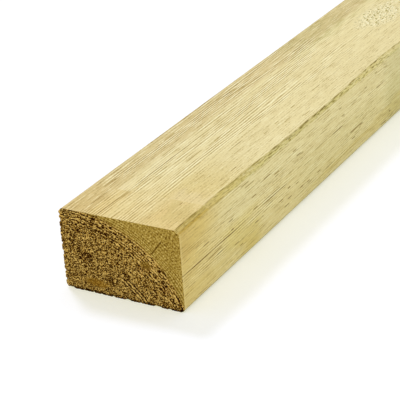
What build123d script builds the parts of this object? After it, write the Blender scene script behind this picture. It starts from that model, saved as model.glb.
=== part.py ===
from build123d import *
import os

os.makedirs("parts", exist_ok=True)

# Overall size of the stud, in millimetres
stud_length = 2400.0
stud_width = 70.0
stud_thickness = 45.0

# Three of the long edges are planed to a small round
eased_edge_radius = 3.0

# The fourth, where the top meets the -Y side, is worn off flat and reaches a little further across
# the top than down the side
worn_edge_on_top = 2.2
worn_edge_on_side = 1.8

# The stud lies on its broad underside, its length along X, its width along Y and its thickness up Z.
# The origin is the middle of the underside, so both ends are half a length away from it.
with BuildPart() as timber_stud:
    with BuildSketch(Plane.YZ.offset(-stud_length / 2)):
        Rectangle(stud_width, stud_thickness, align=(Align.CENTER, Align.MIN))
    extrude(amount=stud_length)

    # The worn edge is cut first, while each face of the plain bar is still easy to pick out
    top_face = timber_stud.faces().sort_by(Axis.Z)[-1]
    worn_edge = top_face.edges().sort_by(Axis.Y)[0]
    chamfer(worn_edge, worn_edge_on_top, worn_edge_on_side, reference=top_face)

    # The two edges of the underside, and the other edge of the top
    underside_edges = timber_stud.faces().sort_by(Axis.Z)[0].edges().filter_by(Axis.X)
    sound_top_edge = timber_stud.edges().filter_by(Axis.X).group_by(Axis.Z)[-1].sort_by(Axis.Y)[-1]
    fillet(underside_edges + [sound_top_edge], eased_edge_radius)

timber_stud.part.label = "timber_stud"
export_step(timber_stud.part, "parts/timber_stud.step")
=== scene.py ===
from math import pi, radians

import bpy
import numpy as np
from mathutils import Matrix, Vector, noise


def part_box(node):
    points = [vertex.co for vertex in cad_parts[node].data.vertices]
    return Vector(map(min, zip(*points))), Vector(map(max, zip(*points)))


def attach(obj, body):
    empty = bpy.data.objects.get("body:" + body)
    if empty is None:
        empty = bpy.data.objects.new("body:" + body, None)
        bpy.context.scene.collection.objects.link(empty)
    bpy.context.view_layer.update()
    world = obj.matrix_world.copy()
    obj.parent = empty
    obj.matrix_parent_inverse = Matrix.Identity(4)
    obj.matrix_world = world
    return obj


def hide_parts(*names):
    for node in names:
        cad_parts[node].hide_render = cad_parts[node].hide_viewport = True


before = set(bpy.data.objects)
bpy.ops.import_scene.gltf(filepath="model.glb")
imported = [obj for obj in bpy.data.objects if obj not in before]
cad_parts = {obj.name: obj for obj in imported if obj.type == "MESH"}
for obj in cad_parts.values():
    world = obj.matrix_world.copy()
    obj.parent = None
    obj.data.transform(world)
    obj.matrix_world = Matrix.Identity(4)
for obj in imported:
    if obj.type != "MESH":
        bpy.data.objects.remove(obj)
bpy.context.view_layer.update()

# The blank. The real stud is one length of softwood, sawn and planed to a flat bar and cut square.
# It starts as a fine grid over the near end, is drawn out along its length in stretches, and each
# stretch is cut across into short bays, closest together where the surface has most to show.
MM = 0.001
low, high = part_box("timber_stud")
length, width, thickness = high - low

CELL = 0.5 * MM
SNIPE_AT = 30 * MM
STRETCHES = (
    # how far from the near end each stretch reaches, and the bays in it
    (SNIPE_AT, 12),
    (SNIPE_AT + MM, 1),
    (285 * MM, 51),
    (375 * MM, 36),
    (length, 54),
)

bpy.ops.object.select_all(action="DESELECT")
bpy.ops.mesh.primitive_grid_add(
    x_subdivisions=round(thickness / CELL),
    y_subdivisions=round(width / CELL),
    size=1,
    location=(low.x, 0, thickness / 2),
    rotation=(0, radians(-90), 0),
)
stud = bpy.context.object
stud.name = stud.data.name = "softwood_stud"
stud.scale = (thickness, width, 1)
bpy.ops.object.transform_apply(location=True, rotation=True, scale=True)

bpy.ops.object.mode_set(mode="EDIT")
bpy.ops.mesh.select_mode(type="FACE")
bpy.ops.mesh.select_all(action="SELECT")
reached = 0
for reach, bays in STRETCHES:
    bpy.ops.mesh.extrude_region_move(TRANSFORM_OT_translate={"value": (reach - reached, 0, 0)})
    reached = reach
bpy.ops.mesh.select_mode(type="EDGE")
bpy.ops.object.mode_set(mode="OBJECT")


def places(piece):
    """The place of every point of a piece, in metres, one row each."""
    flat = np.empty(len(piece.data.vertices) * 3)
    piece.data.vertices.foreach_get("co", flat)
    return flat.reshape(-1, 3)


def edge_ends(piece):
    """The two points of every edge of a piece, one row each."""
    flat = np.empty(len(piece.data.edges) * 2, int)
    piece.data.edges.foreach_get("vertices", flat)
    return flat.reshape(-1, 2)


started = 0
for reach, bays in STRETCHES:
    mesh, ends = stud.data, edge_ends(stud)
    x_of_ends = np.sort(places(stud)[ends, 0] - low.x, axis=1)
    lengthwise = np.all(np.abs(x_of_ends - (started, reach)) < CELL / 10, axis=1)
    held = np.zeros(len(mesh.vertices), bool)
    held[ends[lengthwise]] = True
    mesh.polygons.foreach_set("select", np.zeros(len(mesh.polygons), bool))
    mesh.edges.foreach_set("select", lengthwise)
    mesh.vertices.foreach_set("select", held)
    if bays > 1:
        bpy.ops.object.mode_set(mode="EDIT")
        bpy.ops.mesh.subdivide(number_cuts=bays - 1)
        bpy.ops.object.mode_set(mode="OBJECT")
    started = reach


def uneven(points, sizes, seed):
    """A smooth unevenness from -1 to 1 at each point, with lumps of these sizes along X, Y and Z."""
    spots = points / np.array(sizes) + 7.31 * seed
    return np.array([noise.noise(Vector(spot)) for spot in spots])


def rise(start, stop, amounts):
    """0 up to start and 1 from stop on, with a smooth rise between. start may be the larger."""
    share = np.clip((amounts - start) / (stop - start), 0, 1)
    return share * share * (3 - 2 * share)


def keep(name, amounts):
    """Keeps an amount for every point of the stud, which its finish reads."""
    stud.data.attributes.new(name, "FLOAT", "POINT").data.foreach_set("value", amounts)


points = places(stud)
from_end = points[:, 0] - low.x
across = points[:, 1].copy()
up = points[:, 2].copy()
is_near_end = from_end < CELL / 10
is_far_end = from_end > length - CELL / 10
is_top = up > thickness - CELL / 10
is_worn_side = across < -width / 2 + CELL / 10

# Its long edges. The planer eased three of them to a small round. The fourth, over the narrow face
# that shows, has lost its arris to knocks and tearing: a narrow ragged flat that wanders along it.
EASED_RADIUS = 3 * MM
WORN_ROW_ON_TOP = 5 * CELL
WORN_ROW_ON_SIDE = 4 * CELL
WORN_SETTLES_OVER = 8 * MM

# How wide the flat is at some places along the part that shows, on the top and then down the side
WORN_SPANS_AT = np.array((0, 12, 35, 80, 105, 130, 165, 205, 240, 300)) * MM
WORN_SPANS_ON_TOP = np.array((2.7, 2.8, 2.9, 2.5, 1.6, 1.3, 1.3, 2.1, 2.7, 2.2)) * MM
WORN_SPANS_ON_SIDE = np.array((2.3, 1.8, 1.6, 2.3, 1.7, 1.9, 1.2, 1.7, 1.9, 1.8)) * MM


def stretched(inward, row, wanted):
    """Distances in from an edge, stretched so that the points of one row come to the wanted
    distance, and those further in settle back to where they were."""
    beyond = wanted + (inward - row) * (WORN_SETTLES_OVER + row - wanted) / WORN_SETTLES_OVER
    settled = np.where(inward < row + WORN_SETTLES_OVER, beyond, inward)
    return np.where(inward < row, inward * wanted / row, settled)


lengthwise_only = points * (1, 0, 0)
wander = uneven(lengthwise_only, (31 * MM, 1, 1), 1) * 0.35
wander = wander + uneven(lengthwise_only, (11 * MM, 1, 1), 2) * 0.22
worn_top = np.interp(from_end, WORN_SPANS_AT, WORN_SPANS_ON_TOP) * (1 + wander)
wander = uneven(lengthwise_only, (27 * MM, 1, 1), 3) * 0.30
wander = wander + uneven(lengthwise_only, (9 * MM, 1, 1), 4) * 0.2
worn_down = np.interp(from_end, WORN_SPANS_AT, WORN_SPANS_ON_SIDE) * (1 + wander)

from_side = across + width / 2
from_top = thickness - up
near_top = rise(12 * MM, 4 * MM, from_top)
near_side = rise(14 * MM, 5 * MM, from_side)
from_side = from_side + (stretched(from_side, WORN_ROW_ON_TOP, worn_top) - from_side) * near_top
from_top = from_top + (stretched(from_top, WORN_ROW_ON_SIDE, worn_down) - from_top) * near_side
points[:, 1] = from_side - width / 2
points[:, 2] = thickness - from_top

for side, level in ((1, 1), (1, 0), (-1, 0), (-1, 1)):
    worn = (side, level) == (-1, 1)
    reach_across = worn_top if worn else EASED_RADIUS
    reach_up = worn_down if worn else EASED_RADIUS
    centre_y = side * (width / 2 - reach_across)
    centre_z = thickness - reach_up if level else reach_up
    out_y = side * (points[:, 1] - centre_y) / reach_across
    out_z = (points[:, 2] - centre_z if level else centre_z - points[:, 2]) / reach_up
    corner = (out_y > 0) & (out_z > 0)
    size = out_y + out_z if worn else np.hypot(out_y, out_z)
    draw = np.where(corner, np.maximum(out_y, out_z) / np.maximum(size, 1e-9), 1)
    points[:, 1] = np.where(corner, centre_y + (points[:, 1] - centre_y) * draw, points[:, 1])
    points[:, 2] = np.where(corner, centre_z + (points[:, 2] - centre_z) * draw, points[:, 2])

# The flat was torn and not planed, so fibres are missing from it in small hollows, which fade out at
# its two borders. Its finish needs to know how far each point lies from those borders.
TORN_DEEP = 0.35 * MM
over_top = np.clip((worn_top - (points[:, 1] + width / 2)) / worn_top, 0, 1)
over_side = np.clip((worn_down - (thickness - points[:, 2])) / worn_down, 0, 1)
on_flat = np.minimum(over_top * over_side * 4, 1)
hollow = TORN_DEEP * on_flat * (0.5 + uneven(points, (7 * MM, 1.1 * MM, 1.1 * MM), 5))
points[:, 1] += hollow * 0.7
points[:, 2] -= hollow * 0.7
keep("in_from_worn", (points[:, 1] + width / 2 - worn_top) / MM)
keep("down_from_worn", (thickness - points[:, 2] - worn_down) / MM)

# The sawn ends. A coarse saw tore the heartwood out in pits along the rings, which their finish darkens
# with painted shade, and left the sapwood of the upper corner finer and smoother. It broke splinters off
# the lower edges.
PITH = Vector((0, 33 * MM, -33 * MM))
HEART_RADIUS = 79.5 * MM
HEART_DRAWN_IN = 2.6 * MM
PIT_DEEP = 0.8 * MM
SAP_DEEP = 0.2 * MM
SPLINTER_DEEP = 0.7 * MM

at_end = is_near_end | is_far_end
face = points[at_end]
radius = np.hypot(face[:, 1] - PITH.y, face[:, 2] - PITH.z)
arc = np.arctan2(face[:, 2] - PITH.z, face[:, 1] - PITH.y) * HEART_RADIUS
polar = np.stack([face[:, 0] * 40, arc, radius], axis=1)
waver = uneven(polar, (1, 14 * MM, 9 * MM), 6) * 1.3 * MM
drawn_in = rise(28 * MM, 8 * MM, face[:, 2]) * HEART_DRAWN_IN
heart = rise(HEART_RADIUS + 0.6 * MM, HEART_RADIUS - 0.6 * MM, radius + waver + drawn_in)
rows = uneven(polar, (1, 1.5 * MM, 0.55 * MM), 7)
grains = uneven(polar, (1, 0.55 * MM, 0.55 * MM), 8)
clusters = uneven(polar, (1, 8 * MM, 6 * MM), 14)
pitted = rise(-0.4, 0.5, rows * 0.7 + grains * 0.6 + clusters * 0.1)
border = np.minimum.reduce([
    width / 2 - np.abs(across[at_end]),
    up[at_end],
    thickness - up[at_end],
])
inset = rise(-0.5 * MM, 0.8 * MM, border)
sap_pits = 0.5 + uneven(polar, (1, 1.1 * MM, 1.0 * MM), 9)
depth = inset * (heart * PIT_DEEP * pitted + (1 - heart) * SAP_DEEP * np.clip(sap_pits, 0, 1))
points[at_end, 0] += np.where(is_near_end[at_end], depth, -depth)

splinters = rise(0.0, 0.5, uneven(face, (1, 1.8 * MM, 1.6 * MM), 15)) * SPLINTER_DEEP
splinters = splinters * rise(HEART_RADIUS + 3 * MM, HEART_RADIUS - 3 * MM, radius)
low_edge = rise(CELL * 1.5, 0, up[at_end])
left_edge = rise(CELL * 1.5, 0, width / 2 - across[at_end])
points[at_end, 2] += splinters * low_edge
points[at_end, 1] -= splinters * left_edge

# The planed faces. Their grain stands up a little, and they have what the planer and the drying left:
# a shallow step by the near end, torn wood round a buried knot, and a check in the narrow face.
RAISED = 0.07 * MM
SNIPE_DEEP = 0.12 * MM
CHECK_DEEP = 0.45 * MM
CHECK_UP = 20 * MM
PATCH_ALONG = 320 * MM
PATCH_ACROSS = -1 * MM
PATCH_HALF_LENGTH = 30 * MM
PATCH_HALF_WIDTH = 13 * MM
PLUCK_DEEP = 0.35 * MM

on_face = ~at_end
ridges = uneven(points, (70 * MM, 1.15 * MM, 1.15 * MM), 10)
ridges = ridges * 0.7 + uneven(points, (260 * MM, 3.1 * MM, 3.1 * MM), 11) * 0.5
sunk = np.where(on_face, RAISED * np.clip(0.5 + ridges, 0, 1), 0)

snipe = SNIPE_DEEP * rise(SNIPE_AT + MM / 2, SNIPE_AT, from_end)
out_along = (from_end - PATCH_ALONG) / PATCH_HALF_LENGTH
out_across = (across - PATCH_ACROSS) / PATCH_HALF_WIDTH
out_of_patch = np.hypot(out_along, out_across) + 0.25 * uneven(points, (9 * MM, 5 * MM, 1), 12)
patch = rise(1.15, 0.6, out_of_patch)
pluck = rise(0.05, 0.4, uneven(points, (5.5 * MM, 1.6 * MM, 1), 13)) * PLUCK_DEEP
points[:, 2] -= np.where(is_top & on_face, sunk + snipe + patch * pluck, 0)
points[:, 2] += np.where((up < CELL / 10) & on_face, sunk, 0)

is_sound_side = across > width / 2 - CELL / 10
points[:, 1] += np.where(is_worn_side & on_face, sunk, 0)
points[:, 1] -= np.where(is_sound_side & on_face, sunk, 0)

check_opens = rise(52 * MM, 44 * MM, from_end)
check_opens = check_opens + rise(84 * MM, 90 * MM, from_end) * rise(116 * MM, 108 * MM, from_end)
is_check = (np.abs(up - CHECK_UP) < CELL / 4) & is_worn_side
points[:, 1] += np.where(is_check, check_opens * CHECK_DEEP, 0)

stud.data.vertices.foreach_set("co", points.ravel())
stud.data.update()
bpy.ops.object.select_all(action="DESELECT")
stud.select_set(True)
bpy.context.view_layer.objects.active = stud
bpy.ops.object.shade_smooth_by_angle(angle=radians(60))

# Its finish. Pale softwood, pressure-treated so that it has taken a greenish-yellow cast, deepest at
# the ends. The colour is worked out through the body of the wood, in millimetres from the near end
# and across the section, so that the rings on the end carry on as the grain of the long faces.


class Field:
    """An amount that changes from place to place in the wood: a socket of a material's nodes, which
    plain arithmetic joins to others."""

    def __init__(self, socket):
        self.socket = socket

    def __add__(self, other):
        return worked("ADD", self, other)

    def __sub__(self, other):
        return worked("SUBTRACT", self, other)

    def __rsub__(self, other):
        return worked("SUBTRACT", other, self)

    def __mul__(self, other):
        return worked("MULTIPLY", self, other)

    def __truediv__(self, other):
        return worked("DIVIDE", self, other)

    __radd__ = __add__
    __rmul__ = __mul__


def add_node(kind, feeds, **settings):
    """Adds a node to the finish that is being made, with its settings and what feeds each socket. A
    socket is named by its identifier where several share one name."""
    node = finish.nodes.new("ShaderNode" + kind)
    for name, value in settings.items():
        setattr(node, name, value)
    for name, value in feeds.items():
        socket = next((s for s in node.inputs if s.identifier == name), None) or node.inputs[name]
        if isinstance(value, Field):
            finish.links.new(value.socket, socket)
        else:
            socket.default_value = value
    return node


def worked(operation, *amounts):
    """The field that a sum of fields and plain numbers comes to."""
    feeds = dict(enumerate(amounts))
    return Field(add_node("Math", feeds, operation=operation).outputs[0])


def ramp(field, start, stop, low=0, high=1):
    """low up to start and high from stop on, with a smooth rise between. start may be the larger."""
    feeds = {"Value": field, "From Min": start, "From Max": stop, "To Min": low, "To Max": high}
    return Field(add_node("MapRange", feeds, interpolation_type="SMOOTHSTEP").outputs["Result"])


def streaks(long, wide, seed, detail=0.0):
    """Unevenness from 0 to 1 in streaks this long along the stud and this wide across it, in mm."""
    sizes = {"X": along / long + seed * 17.3, "Y": across_mm / wide, "Z": up_mm / wide}
    spot = Field(add_node("CombineXYZ", sizes).outputs[0])
    feeds = {"Vector": spot, "Scale": 1.0, "Detail": detail, "Roughness": 0.5}
    return Field(add_node("TexNoise", feeds, noise_dimensions="3D").outputs["Fac"])


def colour(red, green, blue):
    """A colour as a screen shows it, each part from 0 to 255, as the light that Blender works in."""
    parts = [part / 255 for part in (red, green, blue)]
    return [part / 12.92 if part <= 0.04045 else ((part + 0.055) / 1.055) ** 2.4 for part in parts] + [1]


def blend(share, first, second, way="MIX"):
    """first where share is 0, second where it is 1, and a mix between."""
    feeds = {"Factor_Float": share, "A_Color": first, "B_Color": second}
    node = add_node("Mix", feeds, data_type="RGBA", blend_type=way, clamp_factor=True)
    return Field(next(socket for socket in node.outputs if socket.identifier == "Result_Color"))


def deepen(shade, amount, red, green, blue):
    """shade with each part of its colour cut to this share, as far as amount says."""
    return blend(amount, shade, (red, green, blue, 1), "MULTIPLY")


def new_finish(name):
    """A new material, with the places in the wood that its fields start from, in millimetres."""
    global finish, along, across_mm, up_mm
    material = bpy.data.materials.new(name)
    material.use_nodes = True
    finish = material.node_tree
    where = Field(add_node("TexCoord", {}).outputs["Object"])
    in_mm = Field(add_node("VectorMath", {0: where, "Scale": 1000.0}, operation="SCALE").outputs[0])
    parts = add_node("SeparateXYZ", {0: in_mm}).outputs
    along, across_mm, up_mm = Field(parts[0]) - low.x / MM, Field(parts[1]), Field(parts[2])
    return material


def from_pith():
    """How far a place is from the heart of the tree, which wanders a little along the stud."""
    settle = ramp(along, 100, 700)
    sway = (streaks(900, 1e6, 1) - 0.5) * settle * 14
    lift = (streaks(1100, 1e6, 2) - 0.5) * settle * 14
    waver = (streaks(90, 9, 3) - 0.5) * 1.2
    y = across_mm - PITH.y / MM - sway
    z = up_mm - PITH.z / MM - lift
    return worked("SQRT", y * y + z * z) + waver


def stroke(starts, stops, off, wide):
    """One line of the grain: 1 along it and 0 beside it. It runs from starts to stops, in millimetres from
    the near end. off is how far a place lies to its side, and wide is half its width."""
    half = (stops - starts) / 2
    past = worked("ABSOLUTE", along - (starts + half))
    return ramp(worked("ABSOLUTE", off), wide, wide * 0.3) * ramp(past, half, half * 0.6)


planed = new_finish("planed_treated_softwood")
planed_wood = finish.nodes["Principled BSDF"]
TOP_AT = thickness / MM
SIDE_AT = -width / MM / 2
on_top = ramp(up_mm, TOP_AT - 2.5, TOP_AT - 1.2)
on_side = ramp(across_mm, SIDE_AT + 1.5, SIDE_AT + 0.7)

# Pale sapwood on the whole. Along the back edge of the top lies a strip of browner heartwood, and along
# its front edge the wood is smooth and its grain hardly shows.
over_heart = ramp(across_mm + (streaks(70, 3, 4) - 0.5) * 5, 16.5, 20.5)
smooth_part = on_top * ramp(across_mm + (streaks(60, 4, 5) - 0.5) * 4, -7, -12)
shade = colour(234, 219, 162)
shade = deepen(shade, over_heart * on_top, 0.86, 0.81, 0.73)
shade = deepen(shade, ramp(streaks(160, 9, 6, 1.0), 0.36, 0.66), 0.955, 0.945, 0.92)

# The wood round the knot was torn out by the planer: pale and fuzzy, with small olive pits, and the
# wood beside it is a greener grey
out_along = (along - PATCH_ALONG / MM) / (PATCH_HALF_LENGTH / MM)
out_across = (across_mm - PATCH_ACROSS / MM) / (PATCH_HALF_WIDTH / MM)
out_of_patch = worked("SQRT", out_along * out_along + out_across * out_across)
in_patch = ramp(out_of_patch + (streaks(9, 5, 26) - 0.5) * 0.7, 1.15, 0.55) * on_top
beside = ramp(along, 215, 255) * ramp(across_mm + (streaks(30, 5, 27) - 0.5) * 14, 8, 17) * on_top
beside = beside * ramp(along, 290, 320, 1, 0.5)
shade = deepen(shade, beside, 0.93, 0.95, 0.91)
shade = deepen(shade, beside * ramp(streaks(10, 2.2, 33), 0.45, 0.68), 0.86, 0.85, 0.74)
shade = blend(in_patch * 0.6, shade, colour(241, 229, 180))
pits = ramp(streaks(2.2, 1.1, 28), 0.56, 0.66) * in_patch
shade = deepen(shade, pits, 0.44, 0.41, 0.16)
shade = blend(ramp(streaks(2.0, 1.0, 29), 0.55, 0.68) * in_patch, shade, colour(255, 248, 208))

# The grain. The yearly rings come out on the long faces as fine straight lines, darker and lighter in
# turn, that fade in and out. Between them the wood is faintly streaked, and fuzzy at its finest.
RING_SPACING = 1.7
round_it = across_mm + up_mm * 1.2
rings = round_it / RING_SPACING + (streaks(95, 8, 8) - 0.5) * 2.0
rings = worked("SINE", rings * (2 * pi))
strong = ramp(streaks(55, 3.4, 9), 0.36, 0.60, 0.35, 1) * (1 - smooth_part * 0.7)
strong = strong * (1 - over_heart * ramp(along, 60, 20) * 0.5) * ramp(along, 240, 275, 1, 0.3)
strong = strong * ramp(along, SNIPE_AT / MM - 4, SNIPE_AT / MM + 6, 0.8, 1)
by_check = ramp(worked("ABSOLUTE", up_mm - (CHECK_UP / MM - 1.5)), 6, 2) * ramp(along, 130, 90)
strong = strong * (1 - on_side * (0.55 - by_check * 0.5))
fine = streaks(11, 0.8, 10) - 0.5
hairs = streaks(12, 0.42, 25) - 0.5
broad = streaks(40, 3.6, 11) - 0.5
fuzz = streaks(1.5, 0.75, 12) - 0.5
grain = rings * strong * 0.48 + fine * (0.9 - on_side * 0.5) * (1 - smooth_part * 0.2)
grain = grain + broad * 0.1 + fuzz * (smooth_part * 0.2 + 0.5 - on_side * 0.1)
grain = grain + hairs * (on_side * 0.7 + 0.2)
grain = grain * (1 - in_patch * 0.7)
shade = deepen(shade, ramp(grain, 0.02, -0.65), 0.51, 0.42, 0.19)
shade = blend(ramp(grain, -0.02, 0.75), shade, colour(255, 248, 207))

# The dashes. They are short and dark, most of them on the narrow face, each where the planer tore a
# line of latewood open.
dashes = ramp(streaks(9, 0.6, 13), 0.68, 0.76) * ramp(streaks(30, 12, 14), 0.42, 0.62)
shade = deepen(shade, dashes * (on_side * 0.3 + 0.35), 0.40, 0.32, 0.10)

# The treatment soaked in further at the end, most on the narrow face. That face is tinted yellower than
# the top overall, yellower still low down and a little darker there further along, and paler in a thin
# border by the near end. Its lowest line, where the stud rests, is painted dark as contact shade.
soaked = ramp(along + (streaks(26, 7, 16) - 0.5) * 22, 62, 2)
shade = deepen(shade, soaked * on_top, 0.985, 0.92, 0.80)
shade = deepen(shade, soaked * on_side * ramp(up_mm, 8, 38, 0.60, 1.15), 0.90, 0.79, 0.50)
shade = deepen(shade, ramp(along, 16, 2) * on_side * ramp(up_mm, 20, 34), 0.90, 0.86, 0.80)
shade = blend(ramp(along, 2.0, 0.8) * on_side * 0.28, shade, colour(240, 218, 150))
shade = deepen(shade, on_side, 0.965, 0.975, 0.91)
low_down = on_side * ramp(up_mm, 30, 22)
shade = deepen(shade, low_down, 1, 0.99, 0.94)
shade = deepen(shade, low_down * ramp(along, 110, 150), 0.95, 0.96, 0.96)
golden = up_mm + (streaks(45, 2.6, 19) - 0.5) * 15 - ramp(along, 190, 265) * 6
shade = deepen(shade, on_side * ramp(golden, 12, 3) * ramp(up_mm, 1.5, 6.5, 0.1, 1), 0.95, 0.91, 0.74)
# painted contact shade: a thin dark line along the lower edge of the narrow face, where it meets the floor
painted_contact_shade = ramp(up_mm, 2.4, 1.0) * ramp(across_mm, SIDE_AT + 4, SIDE_AT + 2)
shade = deepen(shade, painted_contact_shade, 0.40, 0.38, 0.33)
warm = on_side * ramp(up_mm, 28, 20) * ramp(along, 36, 50) * ramp(along, 88, 74)
shade = deepen(shade, warm * ramp(streaks(30, 9, 30), 0.3, 0.6), 0.93, 0.90, 0.70)
shade = deepen(shade, on_side * ramp(along, 238, 262), 0.90, 0.92, 0.90)

# The step that the planer left by the near end. It shows in two places across the top, where the wood
# before it is darker and more yellow, and the wood just after it is pale.
STEP_AT = SNIPE_AT / MM
where_it_shows = ramp(across_mm, 20, 17) * ramp(across_mm, 6, 11) + ramp(across_mm, -10, -15)
before_step = ramp(along + (streaks(1e6, 5, 20) - 0.5) * 1.2, STEP_AT + 0.2, STEP_AT - 0.6) * on_top
past_step = ramp(along, STEP_AT - 0.6, STEP_AT + 0.2) * on_top
shade = deepen(shade, before_step * where_it_shows, 0.95, 0.91, 0.82)
yellow = ramp(along, 4, 14) * ramp(across_mm, -10, -16) * before_step
shade = deepen(shade, yellow * ramp(streaks(16, 7, 21), 0.35, 0.55), 0.90, 0.90, 0.82)
foreside = ramp(across_mm, 0, -14) * ramp(along, 95, 50) * past_step
shade = deepen(shade, foreside, 0.94, 0.90, 0.76)
just_past = past_step * ramp(along + (streaks(9, 4, 22) - 0.5) * 16, STEP_AT + 16, STEP_AT + 3)
pale = ramp(across_mm, -8, -15) + ramp(across_mm, 18.5, 17.5) * ramp(across_mm, 13, 14.5)
shade = blend(pale * just_past * 0.25, shade, colour(243, 227, 186))
pale = ramp(along, 32, 54) * ramp(along, 115, 80) * ramp(across_mm, 19, 17.5)
pale = pale * ramp(across_mm, 11.5, 13) * on_top
shade = blend(pale * ramp(streaks(16, 4, 31), 0.35, 0.6) * 0.3, shade, colour(244, 232, 184))

# The worn edge. Its torn fibres hold more of the treatment: it is olive, with short dark dashes, pale
# glints between them and a thin broken line where it meets the top.
past_rim = Field(add_node("Attribute", {}, attribute_name="in_from_worn").outputs["Fac"])
past_foot = Field(add_node("Attribute", {}, attribute_name="down_from_worn").outputs["Fac"])
jagged = streaks(9, 0.7, 17) - 0.5
off_flat = worked("MAXIMUM", past_rim, past_foot * 0.6) + jagged
fades = ramp(along, 220, 300, 1, 0.4)
shade = deepen(shade, ramp(off_flat, 0.6, -0.35) * fades, 0.83, 0.82, 0.60)
mottled = ramp(off_flat, 0.5, 0) * ramp(streaks(4, 0.45, 18), 0.55, 0.66) * fades
mottled = mottled * ramp(along, 60, 110, 0.5, 1)
shade = deepen(shade, mottled, 0.46, 0.42, 0.21)
glints = ramp(off_flat, 0.3, -0.2) * ramp(streaks(4, 0.45, 24), 0.56, 0.68) * ramp(along, 40, 75)
shade = blend(glints * 0.55, shade, colour(234, 222, 164))
rim_line = ramp(worked("ABSOLUTE", past_rim + jagged * 0.4), 0.45, 0.12) * ramp(past_foot, 0.5, 0)
rim_line = rim_line * ramp(streaks(11, 1e6, 23), 0.42, 0.60, 0.15, 1) * fades
shade = deepen(shade, rim_line, 0.50, 0.45, 0.23)

# The longest and darkest lines of the grain, one by one, as they lie on the real stud. They sway a
# little with the wood, and there are short thick ones on the narrow face.
DARK_LINES = (
    # where each starts and stops along the stud, its place across the top, its drift and half its width
    (-5, 34, 12.6, -0.03, 0.5),
    (28, 152, 11.7, -0.002, 0.35),
    (8, 27, 21.5, 0.0, 0.45),
    (28, 42, 26.0, 0.0, 0.4),
    (46, 56, 25.0, 0.0, 0.4),
    (71, 89, 17.6, 0.0, 0.4),
    (70, 90, 1.9, 0.0, 0.45),
    (90, 104, 27.2, 0.0, 0.4),
    (92, 108, 0.8, 0.0, 0.4),
    (148, 176, 28.2, -0.08, 0.5),
    (156, 200, 24.3, -0.05, 0.5),
    (50, 62, -14.5, 0.0, 0.3),
    (51, 63, -29.3, 0.0, 0.3),
    (25, 29, -20.6, 0.0, 0.4),
    (69, 76, -25.7, 0.0, 0.4),
    (90, 109, -12.4, 0.0, 0.3),
    (118, 123, -19.6, 0.0, 0.4),
    (133, 138, -18.8, 0.0, 0.4),
    (136, 147, -22.8, 0.0, 0.3),
    (156, 162, -17.2, 0.0, 0.45),
    (183, 196, -16.9, 0.0, 0.35),
    (150, 158, -28.6, 0.0, 0.4),
)
swayed = across_mm - (streaks(14, 5, 40) - 0.5) * 0.6
lines = 0
for starts, stops, at, drifts, wide in DARK_LINES:
    off = swayed - at - (along - starts) * drifts if drifts else swayed - at
    lines = stroke(starts, stops, off, wide) + lines
shade = deepen(shade, worked("MINIMUM", lines * on_top, 1), 0.51, 0.42, 0.16)

PLUCKED = (
    # the dark dashes of the narrow face: where each starts and stops, its height, half its width
    (21, 28, 26.5, 0.4),
    (24, 41, 17.5, 0.4),
    (34, 41, 15.4, 0.3),
    (48, 53, 27.2, 0.35),
    (50, 53, 21.7, 0.6),
    (52, 58, 12.0, 0.35),
    (58, 62, 9.0, 0.35),
    (62, 72, 40.4, 0.35),
    (66, 78, 38.2, 0.3),
    (73, 79, 29.7, 0.45),
    (74, 80, 22.3, 0.35),
    (75, 80, 14.0, 0.4),
    (87, 96, 34.0, 0.4),
    (99, 106, 31.6, 0.45),
    (100, 105, 30.0, 0.35),
    (103, 109, 13.2, 0.4),
    (113, 119, 10.7, 0.4),
    (109, 116, 7.5, 0.4),
    (114, 118, 16.8, 0.65),
    (126, 132, 31.0, 0.45),
    (137, 142, 10.3, 0.4),
    (151, 156, 10.3, 0.4),
    (172, 188, 25.0, 0.4),
    (195, 216, 16.0, 0.45),
    (198, 204, 11.5, 0.45),
    (122, 127, 35.2, 0.35),
    (129, 133, 10.6, 0.4),
    (124, 128, 15.0, 0.4),
    (185, 190, 31.0, 0.4),
    (182, 186, 36.5, 0.35),
    (218, 222, 36.0, 0.4),
    (233, 237, 40.0, 0.35),
    (254, 257, 7.5, 0.5),
    (241, 250, 3.4, 0.4),
)
swayed = up_mm - (streaks(14, 5, 41) - 0.5) * 0.4
lines = 0
for starts, stops, at, wide in PLUCKED:
    lines = stroke(starts, stops, swayed - at, wide) + lines
shade = deepen(shade, worked("MINIMUM", lines * on_side, 1), 0.36, 0.27, 0.05)

# The check, a fine crack from drying, is dark inside. It runs in from the near end along the narrow
# face, closes, and opens once more.
check = stroke(-70, 80, swayed - CHECK_UP / MM, 0.38) + stroke(84, 116, swayed - CHECK_UP / MM, 0.38)
shade = deepen(shade, check * on_side, 0.33, 0.25, 0.05)

finish.links.new(shade.socket, planed_wood.inputs["Base Color"])
planed_wood.inputs["Roughness"].default_value = 0.65
planed_wood.inputs["Specular IOR Level"].default_value = 0.3
stud.data.materials.append(planed)

# The finish of the sawn ends. A coarse saw left the heartwood as torn fibres with dark pits between, their
# darkness partly painted shade, and the sapwood of the upper corner as a smoother, greener band. Nothing
# was planed or painted on the wood here.
sawn = new_finish("sawn_end_grain")
sawn_wood = finish.nodes["Principled BSDF"]
distance = from_pith()
edge_of_heart = HEART_RADIUS / MM
off_round = (streaks(60, 1.5, 4) - 0.5) * 3.5 + ramp(up_mm, 28, 8) * (HEART_DRAWN_IN / MM)
heart = ramp(distance + off_round, edge_of_heart + 1.2, edge_of_heart - 1.2)
half_length = length / MM / 2
# how far a place lies in from the nearer end, in mm: the pits are painted darker the deeper they go, as
# shade
pit_depth_for_painted_shade = half_length - worked("ABSOLUTE", along - half_length)
turn = worked("ARCTAN2", up_mm - PITH.z / MM, across_mm - PITH.y / MM) * edge_of_heart


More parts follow.
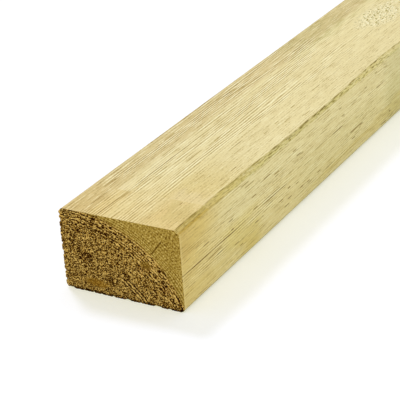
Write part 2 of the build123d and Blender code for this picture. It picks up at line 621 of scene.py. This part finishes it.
def round_rings(round_, out, seed):
    """Unevenness from 0 to 1 on the end, in lumps this long round the rings and this wide out of them."""
    sizes = {"X": turn / round_ + seed * 17.3, "Y": distance / out, "Z": along / 50 + 0.5}
    spot = Field(add_node("CombineXYZ", sizes).outputs[0])
    feeds = {"Vector": spot, "Scale": 1.0, "Detail": 0.0}
    return Field(add_node("TexNoise", feeds, noise_dimensions="3D").outputs["Fac"])


def patch_at(across, up, wide, tall):
    """1 over a patch of the end round this place, 0 beyond it. wide and tall are half its size, in mm."""
    y = (across_mm - across) / wide
    z = (up_mm - up) / tall
    ragged = (round_rings(2.5, 2.5, across) - 0.5) * 0.7
    return ramp(worked("SQRT", y * y + z * z) + ragged, 1.15, 0.55)


shade = blend(heart, colour(175, 145, 62), colour(173, 130, 44))

# The sapwood. It is finely hatched, by the saw across its rings and by the rings themselves, and has
# one crack from drying, which runs out from the heartwood along a ray.
HATCH = 1.5
hatch = worked("SINE", (turn / HATCH + (round_rings(9, 6, 34) - 0.5) * 3) * (2 * pi))
ring = worked("SINE", (distance / HATCH + (round_rings(40, 6, 35) - 0.5) * 2) * (2 * pi))
sap = hatch * 0.14 + ring * ramp(distance, edge_of_heart + 9, edge_of_heart, 0.14, 0.36)
# the sapwood's pits are painted darker the deeper they go, as shade
sap = sap + (round_rings(0.5, 0.45, 32) - 0.5) * 1.8 - ramp(pit_depth_for_painted_shade, 0, 0.2) * 0.2 + 0.1
shade = deepen(shade, ramp(sap, 0.1, -0.65) * (1 - heart), 0.34, 0.26, 0.11)
shade = blend(ramp(sap, 0.1, 0.75) * (1 - heart), shade, colour(222, 196, 112))
CRACK_AT = 179.4
CRACK_STARTS = 79.5
CRACK_STOPS = 92
off_crack = worked("ABSOLUTE", turn - CRACK_AT + (round_rings(9, 3, 36) - 0.5) * 0.5)
crack = ramp(off_crack, 0.5, 0.15) * ramp(distance, CRACK_STARTS, CRACK_STARTS + 1.5)
crack = crack * ramp(distance, CRACK_STOPS, CRACK_STOPS - 2)
shade = deepen(shade, crack, 0.40, 0.32, 0.16)

# The heartwood is torn out in pits between fibres, in lines along its last rings. The dark pits are partly
# the wood's own colour and partly painted shade, the pale fibres partly painted highlight. Two ring lines
# lower down are painted as ridges, a painted highlight with painted shade beside it. Two patches of it are
# smoother, and a few are stained darker.
PAIR_STARTS = 53.6
PAIR_STOPS = 58.6
PAIR_SPACING = 1.9
near_edge = ramp(distance, edge_of_heart - 15, edge_of_heart - 4)
# two ring lines painted as ridges: a painted highlight on each, with painted shade beside it
painted_ridge_lines = ramp(distance, PAIR_STARTS, PAIR_STARTS + 0.6) * ramp(distance, PAIR_STOPS, PAIR_STOPS - 0.6)
painted_ridge_lines = painted_ridge_lines * ramp(up_mm, 14, 9) * ramp(across_mm, 4, -1)
painted_ridge_lines = worked("SINE", (distance - (PAIR_STARTS + 0.8)) * (2 * pi / PAIR_SPACING)) * painted_ridge_lines
smooth_patch = patch_at(16, 6, 7.5, 2.6)
green_patch = patch_at(-14, 22.5, 3.2, 2.6)
torn_and_painted_light = (round_rings(0.8, 0.42, 30) - 0.5) * 2.7 * (1 - near_edge * 0.7)
torn_and_painted_light = torn_and_painted_light + (round_rings(0.45, 0.4, 31) - 0.5) * 2.9
torn_and_painted_light = torn_and_painted_light + (round_rings(2.1, 0.42, 38) - 0.5) * (near_edge * 2.1 + 0.6) + ring * near_edge * 0.42
torn_and_painted_light = torn_and_painted_light + painted_ridge_lines * 1.1
# the heartwood's pits are painted darker the deeper they go, as shade
torn_and_painted_light = torn_and_painted_light - ramp(pit_depth_for_painted_shade, 0.05, 0.75) * 0.3 - 0.03 + ramp(across_mm, 4, -8) * 0.09
clusters = patch_at(22, 19, 6, 4.5) + patch_at(7, 8.5, 1.8, 3)
clusters = clusters + patch_at(-24, 12, 2.2, 5) + patch_at(-9.5, 20, 2.5, 2)
torn_and_painted_light = torn_and_painted_light - clusters * 0.25
calm = 1 - worked("MINIMUM", smooth_patch + green_patch, 1) * 0.5
# the dark pits, partly painted shade, and the pale fibres, partly painted highlight
shade = deepen(shade, ramp(torn_and_painted_light, 0.06, -0.38) * heart * calm, 0.07, 0.025, 0.002)
shade = blend(ramp(torn_and_painted_light, 0.06, 0.52) * heart * calm, shade, colour(236, 200, 112))
shade = deepen(shade, smooth_patch, 0.90, 0.85, 0.62)
shade = deepen(shade, green_patch, 0.80, 0.84, 0.74)
stained = patch_at(22, 20, 3, 3) + patch_at(-11, 19, 2.5, 2.5) + patch_at(-24, 11, 2.2, 3)
shade = deepen(shade, stained + patch_at(-14, 21, 5, 3) * 0.6, 0.92, 0.86, 0.84)

# Painted shade: the foot of the end is dark up to a millimetre or so above the floor, as contact shade
# where it meets the floor, with a ragged upper border.
painted_foot_shade = ramp(up_mm + (round_rings(1.2, 1, 37) - 0.5) * 1.6, 1.5, 0.7) * heart
shade = deepen(shade, painted_foot_shade, 0.17, 0.11, 0.05)
finish.links.new(shade.socket, sawn_wood.inputs["Base Color"])
sawn_wood.inputs["Roughness"].default_value = 0.85
sawn_wood.inputs["Specular IOR Level"].default_value = 0.02
stud.data.materials.append(sawn)

# The ends take the sawn finish and the rest the planed one, and the whole mesh stands for the one solid
PLANED, SAWN = 0, 1
flat = np.empty(len(stud.data.polygons) * 3)
stud.data.polygons.foreach_get("center", flat)
middle_x = flat.reshape(-1, 3)[:, 0] - low.x
is_end = (middle_x < MM) | (middle_x > length - MM)
stud.data.polygons.foreach_set("material_index", np.where(is_end, SAWN, PLANED).astype(np.int32))

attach(stud, "root")
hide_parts("timber_stud")

# The floor: a plain sheet under the stud. The camera sees it in its own tint and with a faint glow, so
# that it is white where the lamps reach it and a pale warm grey in the shadow of the stud.
FLOOR_SIZE = 14
FLOOR_PAINT = (0.90, 0.90, 0.89, 1)
FLOOR_AS_SEEN = (0.58, 0.60, 0.88, 1)
FLOOR_GLOW = (0.49, 0.48, 0.26, 1)
bpy.ops.object.select_all(action="DESELECT")
bpy.ops.mesh.primitive_plane_add(size=FLOOR_SIZE, location=(0, 0, 0))
floor = bpy.context.object
floor.name = "floor"
floor_paint = bpy.data.materials.new("white_floor")
floor_paint.use_nodes = True
finish = floor_paint.node_tree
finish.nodes.clear()


def seen_directly():
    """1 for the rays that show a surface as it is, to the camera, in a gloss or through glass."""
    rays = add_node("LightPath", {}).outputs
    seen = Field(rays["Is Camera Ray"]) + Field(rays["Is Glossy Ray"]) + Field(rays["Is Transmission Ray"])
    return worked("MINIMUM", seen, 1)


seen = seen_directly()
matt = Field(add_node("BsdfDiffuse", {"Color": blend(seen, FLOOR_PAINT, FLOOR_AS_SEEN)}).outputs[0])
glow = Field(add_node("Emission", {"Color": FLOOR_GLOW, "Strength": seen}).outputs[0])
lit = Field(add_node("AddShader", {0: matt, 1: glow}).outputs[0])
add_node("OutputMaterial", {"Surface": lit})
floor.data.materials.append(floor_paint)

# The light: an even white room, a large soft lamp on the camera's left, and a smaller lamp behind and to
# the left of the stud, which lays the faint shadow in front of the end and beside the narrow face.
ROOM_LIGHT = 0.664
WHITE = (1, 1, 1, 1)
world = bpy.data.worlds.new("white_room")
world.use_nodes = True
bpy.context.scene.world = world
finish = world.node_tree
finish.nodes.clear()
room = Field(add_node("Background", {"Color": WHITE, "Strength": ROOM_LIGHT}).outputs[0])
backdrop = Field(add_node("Background", {"Color": WHITE, "Strength": 1.0}).outputs[0])
mixed = Field(add_node("MixShader", {0: seen_directly(), 1: room, 2: backdrop}).outputs[0])
add_node("OutputWorld", {"Surface": mixed})


def hang_lamp(name, comes_from, energy, spread):
    """A lamp far off in this direction. spread is how wide it looks from the stud, in degrees."""
    lamp = bpy.data.lights.new(name, "SUN")
    lamp.energy = energy
    lamp.angle = radians(spread)
    stand = bpy.data.objects.new(name, lamp)
    bpy.context.scene.collection.objects.link(stand)
    stand.rotation_euler = Vector(comes_from).to_track_quat("Z", "Y").to_euler()


hang_lamp("soft_lamp", (-0.8, -1, 0.6), 0.55, 60)
hang_lamp("shadow_lamp", (18, 24, 45), 0.92, 11)

# The camera stands off the near corner and looks down the length of the stud, as in the photo, a little
# out of level. Its focal length is given in pixels of a square picture.
CAMERA_AZIMUTH = radians(-58.784)
CAMERA_ELEVATION = radians(25.745)
CAMERA_ROLL = radians(4.147)
CAMERA_PLACE = Vector((low.x - 533.5 * MM, -371.4 * MM, 365.0 * MM))
FOCAL_PIXELS = 1485.2
FRAME_PIXELS = 400
SENSOR_WIDTH = 36

camera = bpy.data.cameras.new("camera")
camera.sensor_width = SENSOR_WIDTH
camera.lens = FOCAL_PIXELS / FRAME_PIXELS * SENSOR_WIDTH
camera.clip_start = 0.01
camera.clip_end = 100
camera_stand = bpy.data.objects.new("camera", camera)
bpy.context.scene.collection.objects.link(camera_stand)
facing = Matrix.Rotation(CAMERA_AZIMUTH, 4, "Z")
tilted = facing @ Matrix.Rotation(radians(90) - CAMERA_ELEVATION, 4, "X")
rolled = tilted @ Matrix.Rotation(-CAMERA_ROLL, 4, "Z")
camera_stand.matrix_world = Matrix.Translation(CAMERA_PLACE) @ rolled
bpy.context.scene.camera = camera_stand

bpy.context.scene.view_settings.view_transform = "Standard"
